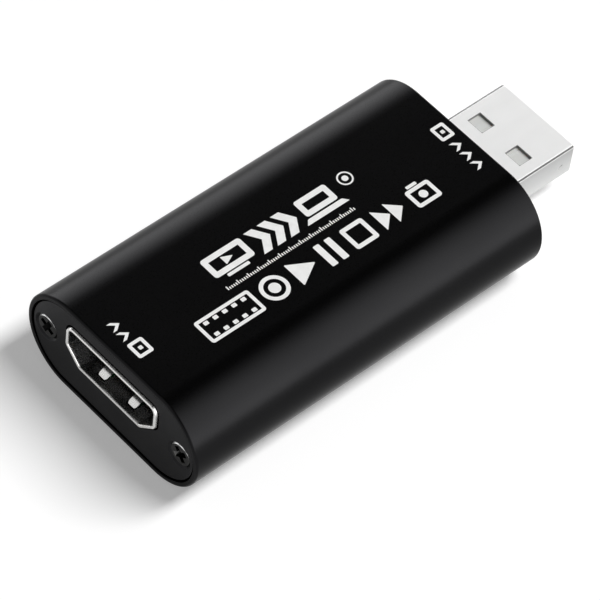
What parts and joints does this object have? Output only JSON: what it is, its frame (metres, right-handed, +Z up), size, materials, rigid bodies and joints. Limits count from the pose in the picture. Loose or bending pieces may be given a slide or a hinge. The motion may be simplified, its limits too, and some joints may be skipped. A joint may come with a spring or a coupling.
{
  "type": "video capture box",
  "caption": "Stick-shaped video capture box: flat-oval black metal tube with a screwed plate at each end, a D-shaped video socket at one end and a flat computer plug at the other.",
  "frame": {"origin": "under the middle of the tube housing, on its flat underside", "axes": "+X from the video socket towards the computer plug, +Y to the left as one faces the socket, +Z up"},
  "size_m": [0.0641, 0.028, 0.013],
  "materials": {
    "anodised_tube": "fine satin black anodise",
    "anodised_plate": "satin black anodise",
    "black_screw": "black zinc plate",
    "circuit_board": "green solder mask on glass epoxy",
    "bright_nickel": "bright nickel plate",
    "black_insulator": "moulded",
    "white_insulator": "moulded",
    "gold_contact": "gold flash",
    "chip_resin": "moulded resin",
    "tin": "tin plate",
    "ferrite": "sintered",
    "ceramic": "fired ceramic"
  },
  "bodies": {
    "stick": {"housing": "anodised_tube", "input_plate": "anodised_plate", "output_plate": "anodised_plate", "input_plate_screws": "black_screw", "output_plate_screws": "black_screw", "circuit_board": "circuit_board", "socket_shell": "bright_nickel", "socket_insulator": "black_insulator", "socket_contacts_upper": "gold_contact", "socket_contacts_lower": "gold_contact", "plug_shell": "bright_nickel", "plug_insulator": "white_insulator", "plug_contacts": "gold_contact", "capture_chip": "chip_resin", "capture_chip_leads": "tin", "memory_chip": "chip_resin", "memory_chip_leads": "tin", "regulators": "chip_resin", "regulator_leads": "tin", "crystal": "tin", "inductor": "ferrite", "capacitors": "ceramic", "resistors": "chip_resin", "protection_arrays": "chip_resin", "solder_joints": "tin"},
    "lower_left_spring": {"socket_spring_lower_left": "bright_nickel"},
    "lower_right_spring": {"socket_spring_lower_right": "bright_nickel"},
    "upper_left_spring": {"socket_spring_upper_left": "bright_nickel"},
    "upper_right_spring": {"socket_spring_upper_right": "bright_nickel"}
  },
  "joints": [
    {"name": "lower_left_spring_flex", "type": "hinge", "parent": "stick", "child": "lower_left_spring", "pos_m": [-0.0187, 0.00265, 0.00535], "axis": [0, -1, 0], "range_deg": [0, 3.5], "stiffness_Nm_per_rad": 0.1},
    {"name": "lower_right_spring_flex", "type": "hinge", "parent": "stick", "child": "lower_right_spring", "pos_m": [-0.0187, -0.00225, 0.00535], "axis": [0, -1, 0], "range_deg": [0, 3.5], "stiffness_Nm_per_rad": 0.1},
    {"name": "upper_left_spring_flex", "type": "hinge", "parent": "stick", "child": "upper_left_spring", "pos_m": [-0.0187, 0.00265, 0.0102], "axis": [0, 1, 0], "range_deg": [0, 3.5], "stiffness_Nm_per_rad": 0.1},
    {"name": "upper_right_spring_flex", "type": "hinge", "parent": "stick", "child": "upper_right_spring", "pos_m": [-0.0187, -0.00225, 0.0102], "axis": [0, 1, 0], "range_deg": [0, 3.5], "stiffness_Nm_per_rad": 0.1}
  ]
}
